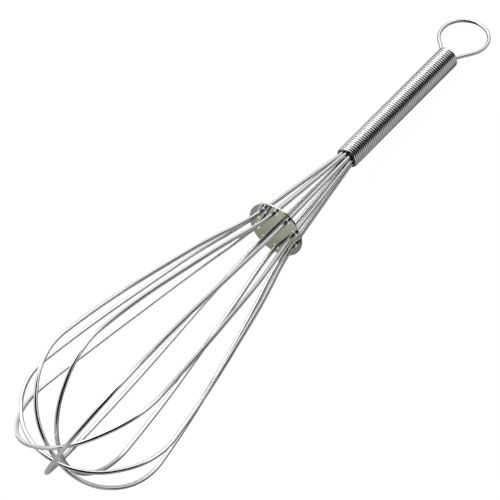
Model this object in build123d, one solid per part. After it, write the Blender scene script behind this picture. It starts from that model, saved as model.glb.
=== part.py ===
from build123d import *
import math
import os

# Balloon wire whisk: five sprung wire loops pass through a loose spreader disc, and
# a wound wire binds their legs into a handle, round the legs of a hanging loop.
# Lengths are in millimetres and angles in degrees. The whisk is built on its own
# axis, with the handle's mouth at zero, the balloon above it and the handle below,
# and is laid on the table at the end.

# Wires, and the space between those that lie side by side in the handle
loop_wire = 1.75
hanger_wire = 1.5
packing_gap = 0.16
wire_sides = 6

# Handle winding, one wire in open turns
handle_length = 76.4
handle_diameter = 10.0
coil_wire = 1.0
coil_turns = 24
coil_sides = 4
coil_first_angle = 150.0
gap_samples = 72

# Balloon, measured from the handle's mouth to the middle loop's crown
balloon_length = 200.5
shoulder_radius = 33.9
crown_gap = 0.12
mouth_bend_radius = 25.0
bend_past_disc = 8.5
bend_share = 0.48
leg_end_recess = 9.0
first_leg_angle = 12.6

# Corners of a leg beyond the disc, as shares: its distance along the balloon, its
# reach out to the shoulder radius, and how much of the loop's twist, of its crown's
# place, of its lean and of the leg's own reach it follows
corner_shares = [
    (0.41, 0.52, 0.5, 0.0, 0.1, 0.6),
    (0.68, 0.85, 1.0, 0.0, 0.5, 1.0),
    (0.88, 1.00, 1.0, 0.7, 0.8, 1.0),
    (1.00, 0.43, 1.0, 1.0, 1.0, 1.0),
]

# The loops in order round the ring: the crown's place, counted outward from the
# innermost, the twist between disc and balloon, and as shares the reach of the
# near and the far leg, and the crown's lean along and across the loop
crown_places = [2, 3, 4, 0, 1]
twist_angles = [11.8, 8.3, 9.6, 9.5, 8.9]
loop_shares = [
    (0.99, 1.00, 0.01, -0.08),
    (1.00, 1.02, -0.05, 0.14),
    (1.05, 0.95, 0.04, -0.09),
    (1.04, 0.94, 0.01, -0.04),
    (1.04, 1.00, -0.10, 0.05),
]

# Spreader disc, loose on the legs
disc_radius = 13.0
disc_thickness = 0.8
disc_distance = 50.0
hole_circle_radius = 9.8
hole_clearance = 0.55

# Hanging loop, whose eye stands a little to one side
eye_radius = 10.7
eye_distance = 13.5
eye_aside = 1.25
eye_angle = 30.0
hanger_depth = 40.0
neck_recess = 1.8
neck_bend_radius = 3.0

# Lying on the table: the side first taken as lowest, and the fineness of the search
lowest_angle = 292.0
settle_rounds = 10
settle_samples = 400

handle_radius = handle_diameter / 2
bore_radius = handle_radius - coil_wire
ring_radius = bore_radius - packing_gap - loop_wire / 2
core_radius = ring_radius - loop_wire / 2 - packing_gap - hanger_wire / 2
leg_step = 180 / len(loop_shares)
leg_slope = (hole_circle_radius - ring_radius) / disc_distance
crown_step = loop_wire + crown_gap
coil_radius = handle_radius - coil_wire / 2
coil_pitch = (handle_length - coil_wire) / coil_turns


def outward(turn):
    """Unit vector square to the whisk's axis."""
    return Vector(math.cos(math.radians(turn)), math.sin(math.radians(turn)), 0)


def on_axis(distance):
    return Vector(0, 0, distance)


def wire_along(path, diameter, sides):
    section = RegularPolygon(diameter / 2, sides)
    return sweep(Plane(origin=path @ 0, z_dir=path % 0) * section, path=path)


def leg_corners(loop, side, reach):
    """Corners of one leg, from its end in the handle to the crown."""
    _, _, lean_along, lean_across = loop_shares[loop]
    ring_turn = first_leg_angle + loop * leg_step
    twist = twist_angles[loop]
    lean = outward(ring_turn + twist) * lean_along + outward(ring_turn + twist + 90) * lean_across
    middle_place = (len(crown_places) - 1) / 2
    stand_out = (crown_places[loop] - middle_place) * crown_step
    straight = outward(ring_turn + side)
    bend = disc_distance + bend_past_disc
    corners = [
        on_axis(leg_end_recess - handle_length) + straight * ring_radius,
        straight * ring_radius,
        on_axis(bend) + straight * (ring_radius + leg_slope * bend),
    ]
    for along, out, twisted, placed, leant, own_reach in corner_shares:
        radius = shoulder_radius * out * (1 + (reach - 1) * own_reach)
        corner = on_axis(balloon_length * along + stand_out * placed)
        corner += outward(ring_turn + side + twist * twisted) * radius
        corners.append(corner + lean * (leant * shoulder_radius))
    return corners


def loop_path(loop):
    """Straight runs and tangent arcs, down one leg, over the crown and back."""
    near_reach, far_reach, _, _ = loop_shares[loop]
    corners = leg_corners(loop, 0, near_reach) + leg_corners(loop, 180, far_reach)[::-1]
    radii = []
    for before, corner, after in zip(corners, corners[1:], corners[2:]):
        arriving = corner - before
        leaving = after - corner
        half_turn = math.radians(arriving.get_angle(leaving) / 2)
        radii.append(bend_share * min(arriving.length, leaving.length) / math.tan(half_turn))
    radii[0] = mouth_bend_radius
    radii[-1] = mouth_bend_radius
    return Wire(FilletPolyline(*corners, radius=radii).edges())


def spreader_disc():
    """Flat plate with a loose hole for every leg."""
    places = PolarLocations(hole_circle_radius, 2 * len(loop_shares), first_leg_angle)
    face = Circle(disc_radius) - places * Circle(loop_wire / 2 + hole_clearance)
    return Location(on_axis(disc_distance - disc_thickness / 2)) * extrude(face, disc_thickness)


def coil_point(turns):
    """A point of the winding, counted in turns from its end at the mouth."""
    middle = on_axis(-coil_wire / 2 - turns * coil_pitch)
    return middle + outward(coil_first_angle + turns * 360) * coil_radius


def coil_way(turns):
    across = outward(coil_first_angle + turns * 360 + 90)
    return (across * (2 * math.pi * coil_radius) - on_axis(coil_pitch)).normalized()


def half_turn_biarc(turns):
    """Two arcs that meet smoothly and keep the winding's direction at both ends."""
    start = coil_point(turns)
    end = coil_point(turns + 1 / 2)
    start_way = coil_way(turns)
    end_way = coil_way(turns + 1 / 2)
    span = end - start
    slant = span.dot(start_way + end_way)
    spread = 2 * (1 - start_way.dot(end_way))
    reach = (math.sqrt(slant**2 + spread * span.length**2) - slant) / spread
    first = start + start_way * reach
    second = end - end_way * reach
    middle = (first + second) / 2
    return [
        TangentArc(start, middle, tangent=start_way),
        TangentArc(middle, end, tangent=second - first),
    ]


def handle_coil():
    """One unbroken winding, with a short straight tail at each end."""
    first = coil_point(0)
    last = coil_point(coil_turns)
    edges = [Line(first - coil_way(0) * coil_wire, first)]
    for half_turn in range(2 * coil_turns):
        edges += half_turn_biarc(half_turn / 2)
    edges.append(Line(last, last + coil_way(coil_turns) * coil_wire))
    return wire_along(Wire(edges), coil_wire, coil_sides)


def least_coil_gap():
    """Least space between two neighbouring turns of the winding."""
    steps = range(2 * gap_samples)
    turn = [coil_point(step / gap_samples) for step in steps]
    spaced = [(a, b) for a in steps for b in steps if b - a > gap_samples / 2]
    return min((turn[a] - turn[b]).length for a, b in spaced) - coil_wire


def hanger_leg(side, centre):
    """One leg of the hanging loop, and the point where it runs into the eye."""
    neck = Vector(side * core_radius, neck_recess - handle_length)
    to_centre = centre - neck
    aside = math.degrees(math.asin(eye_radius / to_centre.length))
    run = math.sqrt(to_centre.length**2 - eye_radius**2)
    touch = neck + to_centre.normalized().rotate(Axis.Z, side * aside) * run
    end = Vector(side * core_radius, hanger_depth - handle_length)
    return FilletPolyline(end, neck, touch, radius=neck_bend_radius), touch


def hanger_path():
    """Two legs side by side in the handle, which open into a round eye."""
    centre = Vector(-eye_aside, -handle_length - eye_distance)
    left, left_touch = hanger_leg(-1, centre)
    right, right_touch = hanger_leg(1, centre)
    eye = ThreePointArc(left_touch, centre - Vector(0, eye_radius), right_touch)
    plane = Plane(origin=on_axis(0), x_dir=outward(eye_angle), z_dir=outward(eye_angle - 90))
    return Wire(left.edges() + [eye] + right.edges()).moved(plane.location)


def table_under(paths):
    """The plane that two wires of the balloon and the handle's far end rest on."""
    shares = [step / settle_samples for step in range(settle_samples + 1)]
    wires = [[path.position_at(share) for share in shares] for path in paths]
    rim = [
        on_axis(-handle_length) + outward(360 * share) * handle_radius for share in shares
    ]
    down = outward(lowest_angle)
    for _ in range(settle_rounds):
        lowest = [max(points, key=down.dot) + down * (loop_wire / 2) for points in wires]
        first, second = sorted(lowest, key=down.dot)[-2:]
        heel = max(rim, key=down.dot)
        square = (second - first).cross(heel - first).normalized()
        down = square if square.dot(down) > 0 else -square
    return Plane(origin=heel, x_dir=on_axis(-1) - down * on_axis(-1).dot(down), z_dir=-down)


def build():
    """Every piece by name, and the plane of the table under them."""
    paths = [loop_path(loop) for loop in range(len(loop_shares))]
    pieces = {}
    for number, path in enumerate(paths, 1):
        pieces[f"wire_loop_{number}"] = wire_along(path, loop_wire, wire_sides)
    pieces["spreader_disc"] = spreader_disc()
    pieces["handle_coil"] = handle_coil()
    pieces["hanging_loop"] = wire_along(hanger_path(), hanger_wire, wire_sides)
    return pieces, table_under(paths)


pieces, table = build()
to_table = table.location.inverse()
laid = {name: piece.moved(to_table) for name, piece in pieces.items()}
bounds = Compound(children=list(laid.values())).bounding_box()
middle = bounds.center()
to_origin = Location((-middle.X, -middle.Y, -bounds.min.Z))

os.makedirs("parts", exist_ok=True)
for name, piece in laid.items():
    solid = piece.moved(to_origin).solid()
    export_step(solid, f"parts/{name}.step")
    print(name, "volume", round(solid.volume, 2), "valid", solid.is_valid)

whole = to_origin * to_table
mouth = whole * Location(on_axis(0))
disc_middle = whole * Location(on_axis(disc_distance))
axis = (disc_middle.position - mouth.position).normalized()
print("least gap between turns", round(least_coil_gap(), 3))
print("handle mouth", mouth.position, "disc", disc_middle.position, "axis", axis)
print("box", bounds.size)
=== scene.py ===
import math

import bpy
from mathutils import Matrix, Quaternion, Vector


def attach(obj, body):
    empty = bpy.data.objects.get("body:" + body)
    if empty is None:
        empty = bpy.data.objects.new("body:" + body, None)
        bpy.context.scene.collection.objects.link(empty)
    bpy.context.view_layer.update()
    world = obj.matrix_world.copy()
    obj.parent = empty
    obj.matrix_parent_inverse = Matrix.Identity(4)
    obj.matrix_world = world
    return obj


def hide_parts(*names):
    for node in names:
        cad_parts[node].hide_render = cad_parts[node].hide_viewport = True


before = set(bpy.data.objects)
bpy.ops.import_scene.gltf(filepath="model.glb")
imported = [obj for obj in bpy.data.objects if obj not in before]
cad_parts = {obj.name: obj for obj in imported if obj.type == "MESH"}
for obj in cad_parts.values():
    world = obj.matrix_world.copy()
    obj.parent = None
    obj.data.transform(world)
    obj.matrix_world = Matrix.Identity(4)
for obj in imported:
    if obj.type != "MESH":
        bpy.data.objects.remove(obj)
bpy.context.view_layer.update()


# Five closed loops of hard drawn stainless wire. Each one's two legs are held side by
# side in the handle, spread by the disc, and sprung out into the balloon. The loops
# cross at the tip, stacked one crown over the next.
MM = 0.001
HANDLE_MOUTH = Vector((51.696, 0.147, 12.741))
WHISK_LEAN = math.radians(5.831)
WHISK_ROLL = math.radians(-22.962)

LOOP_WIRE = 1.75
HANDLE_LENGTH = 76.4
LEG_RING_RADIUS = 2.965
LEG_END_RECESS = 9.0
FIRST_LEG_ANGLE = 12.6
DISC_DISTANCE = 50.0
HOLE_RING_RADIUS = 9.8
BEND_PAST_DISC = 8.5
MOUTH_BEND_RADIUS = 25.0
BALLOON_LENGTH = 200.5
SHOULDER_RADIUS = 33.9
CROWN_STEP = 1.87
BEND_SHARE = 0.48

# Along the balloon, out to the shoulder, share of the twist, of the crown's place, of
# the lean and of the leg's own reach
LEG_CORNERS = [
    (0.41, 0.52, 0.5, 0.0, 0.1, 0.6),
    (0.68, 0.85, 1.0, 0.0, 0.5, 1.0),
    (0.88, 1.00, 1.0, 0.7, 0.8, 1.0),
    (1.00, 0.43, 1.0, 1.0, 1.0, 1.0),
]

# Crown's place from the innermost, twist, reach of the two legs, lean along and across
LOOPS = [
    (2, 11.8, 0.99, 1.00, 0.01, -0.08),
    (3, 8.3, 1.00, 1.02, -0.05, 0.14),
    (4, 9.6, 1.05, 0.95, 0.04, -0.09),
    (0, 9.5, 1.04, 0.94, 0.01, -0.04),
    (1, 8.9, 1.04, 1.00, -0.10, 0.05),
]

# Longest step along a wire in millimetres and round a bend in degrees, the flats round
# it, and how much of its radius a broken cut end takes off
WIRE_STEP = 1.2
BEND_STEP = 3.0
WIRE_SIDES = 16
CUT_END_SHARE = 0.25

# Die lines are counted round the wire and by the metre along it
STEEL_COLOUR = (0.82, 0.82, 0.81)
LOOP_ROUGHNESS = 0.13
DIE_LINE_SCALE = (26.0, 25.0, 1.0)
DIE_LINE_DETAIL = 2.0
SMEAR_SCALE = (55.0, 55.0, 55.0)
SMEAR_DETAIL = 5.0
SMEAR_TONE = 0.93
WIRE_UNEVENNESS = 0.1

# The part of the noise that is used, the shares of the roughness that it gives at both
# ends, and the height of its relief in metres
NOISE_RANGE = (0.3, 0.7)
ROUGHNESS_RANGE = (0.7, 1.4)
UNEVEN_HEIGHT = 0.00002

whisk_axis = Vector((-math.cos(WHISK_LEAN), 0, math.sin(WHISK_LEAN)))
level_side = Vector((0, -1, 0))
top_side = Vector((math.sin(WHISK_LEAN), 0, math.cos(WHISK_LEAN)))
first_side = level_side * math.cos(WHISK_ROLL) + top_side * math.sin(WHISK_ROLL)
second_side = top_side * math.cos(WHISK_ROLL) - level_side * math.sin(WHISK_ROLL)
whisk_place = Matrix((first_side, second_side, whisk_axis)).transposed()


def lay_down(points):
    """Points in the whisk's own millimetres, laid on the table in metres."""
    return [(whisk_place @ p + HANDLE_MOUTH) * MM for p in points]


def outward(degrees, radius=1.0, along=0.0):
    turn = math.radians(degrees)
    return Vector((math.cos(turn) * radius, math.sin(turn) * radius, along))


def run_straight(points, end):
    """Adds even steps from the last point to the end."""
    start = points[-1]
    steps = max(1, round((end - start).length / WIRE_STEP))
    points += [start.lerp(end, k / steps) for k in range(1, steps + 1)]


def bend_wire(corners, radii, bend_step=BEND_STEP):
    """Points along a wire bent round each corner to its own radius."""
    points = [corners[0]]
    for before, corner, after, radius in zip(corners, corners[1:], corners[2:], radii):
        arriving = (corner - before).normalized()
        leaving = (after - corner).normalized()
        turn = arriving.angle(leaving)
        start = corner - arriving * (radius * math.tan(turn / 2))
        hub = start + (leaving - arriving * leaving.dot(arriving)).normalized() * radius
        pivot = arriving.cross(leaving).normalized()
        run_straight(points, start)
        steps = max(2, round(max(math.degrees(turn) / bend_step, turn * radius / WIRE_STEP)))
        for k in range(1, steps + 1):
            points.append(hub + Quaternion(pivot, turn * k / steps) @ (start - hub))
    run_straight(points, corners[-1])
    return points


def put_in_scene(name, data):
    thing = bpy.data.objects.new(name, data)
    bpy.context.scene.collection.objects.link(thing)
    return thing


def draw_wire(name, points, thickness, sides=WIRE_SIDES):
    """A round wire through the points, with its cut ends slightly broken."""
    radius = thickness * MM / 2
    bevel = radius * CUT_END_SHARE
    path = lay_down(points)
    ways = [
        (path[min(k + 1, len(path) - 1)] - path[max(k - 1, 0)]).normalized()
        for k in range(len(path))
    ]
    side = ways[0].orthogonal().normalized()
    verts = []
    rings = []
    lengths = []
    length = 0.0

    def ring(centre, way, size, at):
        rings.append(len(verts))
        lengths.append(at)
        upright = way.cross(side)
        for k in range(sides):
            a = 2 * math.pi * k / sides
            verts.append(centre + (side * math.cos(a) + upright * math.sin(a)) * size)

    for k, (centre, way) in enumerate(zip(path, ways)):
        if k:
            length += (centre - path[k - 1]).length
            side = ways[k - 1].rotation_difference(way) @ side
            side = (side - way * side.dot(way)).normalized()
        if k == 0:
            ring(centre, way, radius - bevel, length)
            ring(centre + way * bevel, way, radius, length + bevel)
        elif k == len(path) - 1:
            ring(centre - way * bevel, way, radius, length - bevel)
            ring(centre, way, radius - bevel, length)
        else:
            ring(centre, way, radius, length)

    faces = []
    uvs = []
    for low, high, at, to in zip(rings, rings[1:], lengths, lengths[1:]):
        for k in range(sides):
            n = (k + 1) % sides
            left, right = k / sides, (k + 1) / sides
            faces.append((low + k, low + n, high + n, high + k))
            uvs += [(left, at), (right, at), (right, to), (left, to)]
    faces.append(tuple(reversed(range(rings[0], rings[0] + sides))))
    faces.append(tuple(range(rings[-1], rings[-1] + sides)))
    uvs += [(0.5, lengths[0])] * sides + [(0.5, lengths[-1])] * sides
    mesh = bpy.data.meshes.new(name)
    mesh.from_pydata(verts, [], faces)
    layer = mesh.uv_layers.new(name="along_the_wire")
    for corner, uv in zip(layer.data, uvs):
        corner.uv = uv
    mesh.polygons.foreach_set("use_smooth", [True] * (len(faces) - 2) + [False] * 2)
    mesh.update()
    return put_in_scene(name, mesh)


def surface_noise(tree, coordinates, scale, detail, turn=0.0):
    """Noise over a surface, with its own scale along each of the coordinates."""
    place = tree.nodes.new("ShaderNodeTexCoord")
    stretch = tree.nodes.new("ShaderNodeMapping")
    stretch.inputs["Rotation"].default_value = (0.0, 0.0, turn)
    stretch.inputs["Scale"].default_value = scale
    tree.links.new(place.outputs[coordinates], stretch.inputs["Vector"])
    noise = tree.nodes.new("ShaderNodeTexNoise")
    noise.inputs["Scale"].default_value = 1.0
    noise.inputs["Detail"].default_value = detail
    tree.links.new(stretch.outputs["Vector"], noise.inputs["Vector"])
    return noise.outputs["Fac"]


def polish(tree, colour, roughness, fine_lines, clouds, cloud_tone, unevenness):
    """Bright steel. The lines change its shine, the clouds its tone and its level."""
    steel = tree.nodes["Principled BSDF"]
    steel.inputs["Metallic"].default_value = 1.0

    tone = tree.nodes.new("ShaderNodeValToRGB")
    for step, at, share in zip(tone.color_ramp.elements, NOISE_RANGE, (cloud_tone, 1.0)):
        step.position = at
        step.color = (*[c * share for c in colour], 1)
    tree.links.new(clouds, tone.inputs["Fac"])
    tree.links.new(tone.outputs["Color"], steel.inputs["Base Color"])

    dulling = tree.nodes.new("ShaderNodeMapRange")
    dulling.inputs["From Min"].default_value = NOISE_RANGE[0]
    dulling.inputs["From Max"].default_value = NOISE_RANGE[1]
    dulling.inputs["To Min"].default_value = roughness * ROUGHNESS_RANGE[0]
    dulling.inputs["To Max"].default_value = roughness * ROUGHNESS_RANGE[1]
    tree.links.new(fine_lines, dulling.inputs["Value"])
    tree.links.new(dulling.outputs["Result"], steel.inputs["Roughness"])

    relief = tree.nodes.new("ShaderNodeBump")
    relief.inputs["Strength"].default_value = unevenness
    relief.inputs["Distance"].default_value = UNEVEN_HEIGHT
    tree.links.new(clouds, relief.inputs["Height"])
    tree.links.new(relief.outputs["Normal"], steel.inputs["Normal"])


def bright_wire_finish(name, colour, roughness):
    """Polished drawn wire: long fine die lines, faint smears and slight unevenness."""
    material = bpy.data.materials.new(name)
    material.use_nodes = True
    tree = material.node_tree
    die_lines = surface_noise(tree, "UV", DIE_LINE_SCALE, DIE_LINE_DETAIL)
    smears = surface_noise(tree, "Object", SMEAR_SCALE, SMEAR_DETAIL)
    polish(tree, colour, roughness, die_lines, smears, SMEAR_TONE, WIRE_UNEVENNESS)
    return material


def leg_corners(ring_angle, twist, lean, stand_out, side, reach):
    """Corners of one leg, from its end in the handle to the crown."""
    slope = (HOLE_RING_RADIUS - LEG_RING_RADIUS) / DISC_DISTANCE
    bend = DISC_DISTANCE + BEND_PAST_DISC
    leg = [
        outward(ring_angle + side, LEG_RING_RADIUS, LEG_END_RECESS - HANDLE_LENGTH),
        outward(ring_angle + side, LEG_RING_RADIUS),
        outward(ring_angle + side, LEG_RING_RADIUS + slope * bend, bend),
    ]
    for at, out, twisted, placed, leant, own_reach in LEG_CORNERS:
        radius = SHOULDER_RADIUS * out * (1 + (reach - 1) * own_reach)
        height = BALLOON_LENGTH * at + stand_out * placed
        corner = outward(ring_angle + side + twist * twisted, radius, height)
        leg.append(corner + lean * (leant * SHOULDER_RADIUS))
    return leg


loop_finish = bright_wire_finish("bright_loop_wire", STEEL_COLOUR, LOOP_ROUGHNESS)

for number, (crown, twist, near_reach, far_reach, along, across) in enumerate(LOOPS):
    ring_angle = FIRST_LEG_ANGLE + number * 180 / len(LOOPS)
    lean = outward(ring_angle + twist, along) + outward(ring_angle + twist + 90, across)
    stand_out = (crown - (len(LOOPS) - 1) / 2) * CROWN_STEP
    near_leg = leg_corners(ring_angle, twist, lean, stand_out, 0, near_reach)
    far_leg = leg_corners(ring_angle, twist, lean, stand_out, 180, far_reach)
    corners = near_leg + far_leg[::-1]
    radii = []
    for before, corner, after in zip(corners, corners[1:], corners[2:]):
        turn = (corner - before).angle(after - corner)
        shorter = min((corner - before).length, (after - corner).length)
        radii.append(BEND_SHARE * shorter / math.tan(turn / 2))
    radii[0] = radii[-1] = MOUTH_BEND_RADIUS
    loop = draw_wire(f"sprung_loop_{number + 1}", bend_wire(corners, radii), LOOP_WIRE)
    loop.data.materials.append(loop_finish)
    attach(loop, "whisk")
    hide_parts(f"wire_loop_{number + 1}")


# A disc of polished stainless sheet, punched with a ring of holes and deburred. It is
# threaded on the ten legs and held by nothing but their spread, so it slides a little.
DISC_RADIUS = 13.0
DISC_THICKNESS = 0.8
HOLES = 10
HOLE_RADIUS = 1.425
EDGE_ROUNDING = 0.09
EDGE_STEPS = 3
RIM_SIDES = 160
HOLE_SIDES = 40

# A face that points this nearly along the whisk's axis is part of a flat side
FLAT_SIDE = 0.999

SHEET_COLOUR = (0.84, 0.83, 0.77)
SHEET_ROUGHNESS = 0.08
ROLLING_TURN = 0.5
ROLLING_SCALE = (500.0, 9000.0, 9000.0)
ROLLING_DETAIL = 3.0
CLOUD_SCALE = (120.0, 120.0, 120.0)
CLOUD_DETAIL = 3.0
CLOUD_TONE = 0.9
SHEET_UNEVENNESS = 0.15


def ring_spline(curve, centre, radius, sides):
    spline = curve.splines.new("POLY")
    spline.points.add(sides - 1)
    for k, point in enumerate(spline.points):
        a = 2 * math.pi * k / sides
        x = centre[0] + radius * math.cos(a)
        y = centre[1] + radius * math.sin(a)
        point.co = (x * MM, y * MM, 0, 1)
    spline.use_cyclic_u = True


outline = bpy.data.curves.new("disc_outline", "CURVE")
outline.dimensions = "2D"
outline.fill_mode = "BOTH"
outline.extrude = (DISC_THICKNESS / 2 - EDGE_ROUNDING) * MM
outline.bevel_depth = EDGE_ROUNDING * MM
outline.bevel_resolution = EDGE_STEPS
ring_spline(outline, (0, 0), DISC_RADIUS - EDGE_ROUNDING, RIM_SIDES)
for hole in range(HOLES):
    centre = outward(FIRST_LEG_ANGLE + hole * 360 / HOLES, HOLE_RING_RADIUS)
    ring_spline(outline, centre, HOLE_RADIUS + EDGE_ROUNDING, HOLE_SIDES)
blank = put_in_scene("disc_blank", outline)
bpy.context.view_layer.update()
disc_mesh = bpy.data.meshes.new_from_object(blank)
bpy.data.objects.remove(blank)
disc_place = Matrix.Translation(lay_down([Vector((0, 0, DISC_DISTANCE))])[0])
disc_mesh.transform(disc_place @ whisk_place.to_4x4())
disc_mesh.update()
for face in disc_mesh.polygons:
    face.use_smooth = abs(face.normal.dot(whisk_axis)) < FLAT_SIDE
disc = put_in_scene("punched_disc", disc_mesh)

disc_finish = bpy.data.materials.new("bright_disc_sheet")
disc_finish.use_nodes = True
disc_tree = disc_finish.node_tree
rolling_lines = surface_noise(
    disc_tree, "Object", ROLLING_SCALE, ROLLING_DETAIL, turn=ROLLING_TURN
)
rubbing = surface_noise(disc_tree, "Object", CLOUD_SCALE, CLOUD_DETAIL)
polish(
    disc_tree, SHEET_COLOUR, SHEET_ROUGHNESS, rolling_lines, rubbing, CLOUD_TONE, SHEET_UNEVENNESS
)
disc.data.materials.clear()
disc.data.materials.append(disc_finish)
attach(disc, "spreader")
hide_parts("spreader_disc")


# One thinner stainless wire bent into an open round eye. Its two legs run down the
# middle of the handle between the loops' legs, where the winding grips them.
HANGER_WIRE = 1.5
HANGER_LEG_RADIUS = 1.18
HANGER_DEPTH = 40.0
NECK_RECESS = 1.8
NECK_BEND_RADIUS = 3.0
NECK_BEND_STEP = 6.0
EYE_RADIUS = 10.7
EYE_DISTANCE = 13.5
EYE_ASIDE = 1.25
EYE_ANGLE = 30.0
EYE_STEPS = 96
HANGER_ROUGHNESS = 0.09

eye_centre = Vector((-EYE_ASIDE, -HANDLE_LENGTH - EYE_DISTANCE, 0))
eye_pivot = Vector((0, 0, 1))
hanger_legs = []
for side in (-1, 1):
    end = Vector((side * HANGER_LEG_RADIUS, HANGER_DEPTH - HANDLE_LENGTH, 0))
    neck = Vector((side * HANGER_LEG_RADIUS, NECK_RECESS - HANDLE_LENGTH, 0))
    to_centre = eye_centre - neck
    aside = math.asin(EYE_RADIUS / to_centre.length)
    run = math.sqrt(to_centre.length**2 - EYE_RADIUS**2)
    touch = neck + (Quaternion(eye_pivot, side * aside) @ to_centre.normalized()) * run
    hanger_legs.append(bend_wire([end, neck, touch], [NECK_BEND_RADIUS], NECK_BEND_STEP))
left_touch = hanger_legs[0][-1] - eye_centre
right_touch = hanger_legs[1][-1] - eye_centre
sweep = 2 * math.pi - left_touch.angle(right_touch)
eye = [
    eye_centre + Quaternion(eye_pivot, sweep * k / EYE_STEPS) @ left_touch
    for k in range(1, EYE_STEPS)
]
flat_path = hanger_legs[0] + eye + hanger_legs[1][::-1]
hanger_path = [outward(EYE_ANGLE, p.x, p.y) for p in flat_path]
hanger = draw_wire("hanging_eye", hanger_path, HANGER_WIRE)
hanger_finish = bright_wire_finish("bright_hanger_wire", STEEL_COLOUR, HANGER_ROUGHNESS)
hanger.data.materials.append(hanger_finish)
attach(hanger, "whisk")
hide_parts("hanging_loop")


# One stainless wire wound close and tight round all the legs, turn against turn, from
# the mouth to the hanging loop. It binds them into the handle, and its two cut ends lie
# flat against the last turns.
COIL_WIRE = 1.12
HANDLE_DIAMETER = 10.0
COIL_TURNS = 63.5
COIL_END_ANGLE = 12.0
COIL_STEPS = 60
COIL_SIDES = 12
COIL_COLOUR = (0.86, 0.86, 0.85)
COIL_ROUGHNESS = 0.05
# Painted shade between the turns: the radii from the groove's bottom to its mouth, and its level
# at the bottom
GROOVE_BOTTOM_RADIUS = 4.6
GROOVE_MOUTH_RADIUS = 4.85
GROOVE_SHADE_LEVEL = 0.35

coil_radius = (HANDLE_DIAMETER - COIL_WIRE) / 2
coil_pitch = (HANDLE_LENGTH - COIL_WIRE) / COIL_TURNS
coil_path = [
    outward(
        COIL_END_ANGLE + 360 * k / COIL_STEPS,
        coil_radius,
        -COIL_WIRE / 2 - coil_pitch * k / COIL_STEPS,
    )
    for k in range(round(COIL_TURNS * COIL_STEPS) + 1)
]
coil = draw_wire("close_winding", coil_path, COIL_WIRE, COIL_SIDES)


def vector_step(tree, operation, first, second=None):
    """A vector operation on a socket, with a fixed second vector if it needs one."""
    step = tree.nodes.new("ShaderNodeVectorMath")
    step.operation = operation
    tree.links.new(first, step.inputs[0])
    if second is not None:
        step.inputs[1].default_value = second
    return step


def paint_shade_in_grooves(material):
    """Paints shade into the metal's colour deep between the turns, darker nearer the axis."""
    tree = material.node_tree
    base_colour = tree.nodes["Principled BSDF"].inputs["Base Color"]
    polished_tone = base_colour.links[0].from_socket
    place = tree.nodes.new("ShaderNodeTexCoord")
    from_mouth = vector_step(tree, "SUBTRACT", place.outputs["Object"], HANDLE_MOUTH * MM)
    off_axis = vector_step(tree, "CROSS_PRODUCT", from_mouth.outputs["Vector"], whisk_axis)
    radius = vector_step(tree, "LENGTH", off_axis.outputs["Vector"])
    depth = tree.nodes.new("ShaderNodeMapRange")
    depth.interpolation_type = "SMOOTHSTEP"
    depth.inputs["From Min"].default_value = GROOVE_BOTTOM_RADIUS * MM
    depth.inputs["From Max"].default_value = GROOVE_MOUTH_RADIUS * MM
    depth.inputs["To Min"].default_value = GROOVE_SHADE_LEVEL
    depth.inputs["To Max"].default_value = 1.0
    tree.links.new(radius.outputs["Value"], depth.inputs["Value"])
    painted_groove_shade = vector_step(tree, "SCALE", polished_tone)
    tree.links.new(depth.outputs["Result"], painted_groove_shade.inputs["Scale"])
    tree.links.new(painted_groove_shade.outputs["Vector"], base_colour)


coil_finish = bright_wire_finish("bright_winding_wire", COIL_COLOUR, COIL_ROUGHNESS)
# The winding's colour gets painted shade in the grooves between its turns.
paint_shade_in_grooves(coil_finish)
coil.data.materials.append(coil_finish)
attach(coil, "whisk")
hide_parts("handle_coil")


# The whisk lies on a plain sheet of matt white paper. The paper takes its shadow, and
# shows white to the camera and in the polished steel.
FLOOR_REACH = 4.0
PAPER_COLOUR = (0.9, 0.9, 0.9, 1)
PAPER_GLOW = 1.04
PAPER_GLOW_SHARE = 0.93


def level_corners(west, east, south, north, height):
    return [
        (west, south, height),
        (east, south, height),
        (east, north, height),
        (west, north, height),
    ]


def combine(tree, operation, first, second):
    """A number from a socket and either a second socket or a fixed number."""
    both = tree.nodes.new("ShaderNodeMath")
    both.operation = operation
    tree.links.new(first, both.inputs[0])
    if isinstance(second, float):
        both.inputs[1].default_value = second
    else:
        tree.links.new(second, both.inputs[1])
    return both.outputs[0]


floor_mesh = bpy.data.meshes.new("white_floor")
floor_corners = level_corners(-FLOOR_REACH, FLOOR_REACH, -FLOOR_REACH, FLOOR_REACH, 0.0)
floor_mesh.from_pydata(floor_corners, [], [(0, 1, 2, 3)])
floor = put_in_scene("white_floor", floor_mesh)

paper = bpy.data.materials.new("white_paper")
paper.use_nodes = True
tree = paper.node_tree
tree.nodes.clear()
sight = tree.nodes.new("ShaderNodeLightPath")
seen = combine(tree, "MAXIMUM", sight.outputs["Is Camera Ray"], sight.outputs["Is Glossy Ray"])
seen = combine(tree, "MAXIMUM", seen, sight.outputs["Is Transmission Ray"])
matt = tree.nodes.new("ShaderNodeBsdfDiffuse")
matt.inputs["Color"].default_value = PAPER_COLOUR
glow = tree.nodes.new("ShaderNodeEmission")
glow.inputs["Color"].default_value = (1, 1, 1, 1)
glow.inputs["Strength"].default_value = PAPER_GLOW
blend = tree.nodes.new("ShaderNodeMixShader")
tree.links.new(combine(tree, "MULTIPLY", seen, PAPER_GLOW_SHARE), blend.inputs["Fac"])
tree.links.new(matt.outputs[0], blend.inputs[1])
tree.links.new(glow.outputs[0], blend.inputs[2])
paper_out = tree.nodes.new("ShaderNodeOutputMaterial")
tree.links.new(blend.outputs[0], paper_out.inputs["Surface"])
floor.data.materials.append(paper)


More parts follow.
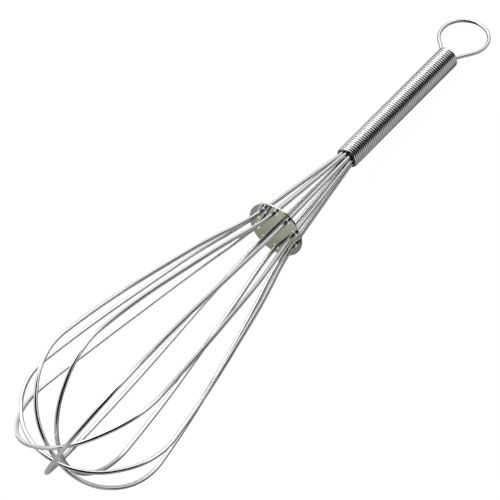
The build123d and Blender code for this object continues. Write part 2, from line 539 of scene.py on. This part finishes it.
# Polished steel shows its shape by what it mirrors, so there are six studio cards: four
# just above the paper, of which the one before the disc is grey-green, one beside the
# handle and one over it. Only reflections see them, and they cast no shadow. They glow
# at set tones instead of taking light, and the cards under the handle and before the
# disc have painted shadow in their tones.
BENCH_HEIGHT = 0.0002
DISC_CARD_HEIGHT = 0.0004
SIDE_CARD_PLACE = -0.08
CARD_TOP = 0.16


def grey(level):
    return (level, level, level)


def tone_across(tree, across, tones):
    """A colour that runs through the tones, each at its distance in a direction."""
    place = tree.nodes.new("ShaderNodeTexCoord")
    distance = tree.nodes.new("ShaderNodeVectorMath")
    distance.operation = "DOT_PRODUCT"
    distance.inputs[1].default_value = across
    tree.links.new(place.outputs["Object"], distance.inputs[0])
    first, last = tones[0][0], tones[-1][0]
    spread = tree.nodes.new("ShaderNodeMapRange")
    spread.inputs["From Min"].default_value = first
    spread.inputs["From Max"].default_value = last
    tree.links.new(distance.outputs["Value"], spread.inputs["Value"])
    blend = tree.nodes.new("ShaderNodeValToRGB")
    steps = blend.color_ramp.elements
    while len(steps) < len(tones):
        steps.new(1.0)
    for step, (at, colour) in zip(steps, tones):
        step.position = (at - first) / (last - first)
        step.color = (*colour, 1)
    tree.links.new(spread.outputs["Result"], blend.inputs["Fac"])
    return blend.outputs["Color"]


def studio_card(name, corners, tones, across=None):
    """A card toned across one direction, or with one tone all over."""
    mesh = bpy.data.meshes.new(name)
    mesh.from_pydata(corners, [], [tuple(range(len(corners)))])
    paint = bpy.data.materials.new(name)
    paint.use_nodes = True
    tree = paint.node_tree
    tree.nodes.clear()
    shine = tree.nodes.new("ShaderNodeEmission")
    if across is None:
        shine.inputs["Color"].default_value = (*tones, 1)
    else:
        tree.links.new(tone_across(tree, across, tones), shine.inputs["Color"])
    paint_out = tree.nodes.new("ShaderNodeOutputMaterial")
    tree.links.new(shine.outputs[0], paint_out.inputs["Surface"])
    paint.cycles.emission_sampling = "NONE"
    mesh.materials.append(paint)
    card = put_in_scene(name, mesh)
    card.visible_camera = False
    card.visible_diffuse = False
    card.visible_shadow = False
    card.visible_transmission = False


studio_card(
    "bench_under_balloon",
    level_corners(-0.14, 0.045, -1.5, 0.04, BENCH_HEIGHT),
    [(-0.03, grey(0.15)), (0.03, grey(0.32))],
    across=(0, 1, 0),
)
studio_card(
    "bench_beyond_tip",
    level_corners(-1.5, -0.14, -1.5, 1.0, BENCH_HEIGHT),
    [(-0.3, grey(0.5)), (-0.145, grey(0.4))],
    across=(1, 0, 0),
)
# A lighter grey-green card for the disc to mirror; its tone darkening towards the disc's foot is
# painted contact shadow.
studio_card(
    "bench_before_disc",
    level_corners(-0.05, 0.0, -0.001, 0.0175, DISC_CARD_HEIGHT),
    [(-0.03, (0.50, 0.50, 0.43)), (-0.004, (0.27, 0.27, 0.22))],
    across=(1, 0, 0),
)
# The near-black band in this card's tones, right under the handle, is a painted contact shadow of
# the handle.
studio_card(
    "bench_under_handle",
    level_corners(0.045, 0.3, -0.3, 0.3, BENCH_HEIGHT),
    [
        (-0.06, grey(0.52)),
        (-0.037, grey(0.48)),
        (-0.0145, grey(0.34)),
        (-0.0067, grey(0.05)),
        (0.002, grey(0.05)),
        (0.05, grey(0.52)),
    ],
    across=(0, 1, 0),
)
studio_card(
    "card_beside_handle",
    [
        (0.01, SIDE_CARD_PLACE, 0.0),
        (0.5, SIDE_CARD_PLACE, 0.0),
        (0.5, SIDE_CARD_PLACE, CARD_TOP),
        (0.01, SIDE_CARD_PLACE, CARD_TOP),
    ],
    [(0.046, grey(0.50)), (0.062, grey(0.03))],
    across=(0, 0, 1),
)
studio_card(
    "black_flag_overhead",
    [
        (0.035, 0.018, CARD_TOP),
        (0.035, SIDE_CARD_PLACE, CARD_TOP),
        (0.335, SIDE_CARD_PLACE, CARD_TOP),
    ],
    grey(0.04),
)


# The room is white and a little darker towards the floor. It has a dark part on the
# camera's side and a dark low wall at one side, for the steel to mirror. One wide
# window gives the soft light.

# Direction by azimuth and elevation, the two angles above the plane square to it
# between which the light changes, and its level at each of them
DARK_PART = (-155, 42), (32, 37), (1.0, 0.0)
SKIRTING = (0, 90), (2, 12), (0.4, 0.0)
LOW_WALL_TOP = (0, 90), (21, 27), (0.14, 1.0)
LOW_WALL_END = (-105, 0), (12, 24), (1.0, 0.0)
CEILING_RISE = (0, 90), (-5, 60), (0.5, 1.0)
ROOM_BRIGHTNESS = 1.28

WINDOW_PLACE = (0.3, 1.3, 1.5)
WINDOW_WIDTH = 1.6
WINDOW_HEIGHT = 1.2
WINDOW_POWER = 12.0

world = bpy.data.worlds.new("open_room")
bpy.context.scene.world = world
world.use_nodes = True
room = world.node_tree
room.nodes.clear()
direction = room.nodes.new("ShaderNodeTexCoord")


def light_level(towards, angles, levels):
    """Level by direction, with a smooth change between two angles."""
    azimuth, elevation = (math.radians(a) for a in towards)
    dot = room.nodes.new("ShaderNodeVectorMath")
    dot.operation = "DOT_PRODUCT"
    dot.inputs[1].default_value = (
        math.cos(azimuth) * math.cos(elevation),
        math.sin(azimuth) * math.cos(elevation),
        math.sin(elevation),
    )
    room.links.new(direction.outputs["Generated"], dot.inputs[0])
    edge = room.nodes.new("ShaderNodeMapRange")
    edge.interpolation_type = "SMOOTHSTEP"
    edge.inputs["From Min"].default_value = math.sin(math.radians(angles[0]))
    edge.inputs["From Max"].default_value = math.sin(math.radians(angles[1]))
    edge.inputs["To Min"].default_value = levels[0]
    edge.inputs["To Max"].default_value = levels[1]
    room.links.new(dot.outputs["Value"], edge.inputs["Value"])
    return edge.outputs["Result"]


walls = combine(room, "MAXIMUM", light_level(*DARK_PART), light_level(*SKIRTING))
low_wall = combine(room, "MAXIMUM", light_level(*LOW_WALL_TOP), light_level(*LOW_WALL_END))
level = combine(room, "MINIMUM", walls, low_wall)
level = combine(room, "MULTIPLY", level, light_level(*CEILING_RISE))
sky = room.nodes.new("ShaderNodeBackground")
sky.inputs["Color"].default_value = (1, 1, 1, 1)
room.links.new(combine(room, "MULTIPLY", level, ROOM_BRIGHTNESS), sky.inputs["Strength"])
world_out = room.nodes.new("ShaderNodeOutputWorld")
room.links.new(sky.outputs[0], world_out.inputs["Surface"])

window = bpy.data.lights.new("soft_window", "AREA")
window.shape = "RECTANGLE"
window.size = WINDOW_WIDTH
window.size_y = WINDOW_HEIGHT
window.energy = WINDOW_POWER
window_stand = put_in_scene("soft_window", window)
window_stand.location = WINDOW_PLACE
to_whisk = -Vector(WINDOW_PLACE)
window_stand.rotation_euler = to_whisk.to_track_quat("-Z", "Y").to_euler()


# The camera looks down on the whisk from the balloon's side, at the photograph's
# viewing angle, through a long lens.
CAMERA_PLACE = (-0.8504, -0.5594, 1.4302)
CAMERA_TURN = (35.494, -1.695, -53.773)
LENS = 307.06
SENSOR_WIDTH = 36.0
FARTHEST_SEEN = 20.0

camera = bpy.data.cameras.new("photograph_view")
camera.lens = LENS
camera.sensor_width = SENSOR_WIDTH
camera.clip_end = FARTHEST_SEEN
camera_stand = put_in_scene("photograph_view", camera)
camera_stand.location = CAMERA_PLACE
camera_stand.rotation_euler = [math.radians(a) for a in CAMERA_TURN]
bpy.context.scene.camera = camera_stand
bpy.context.scene.view_settings.view_transform = "Standard"
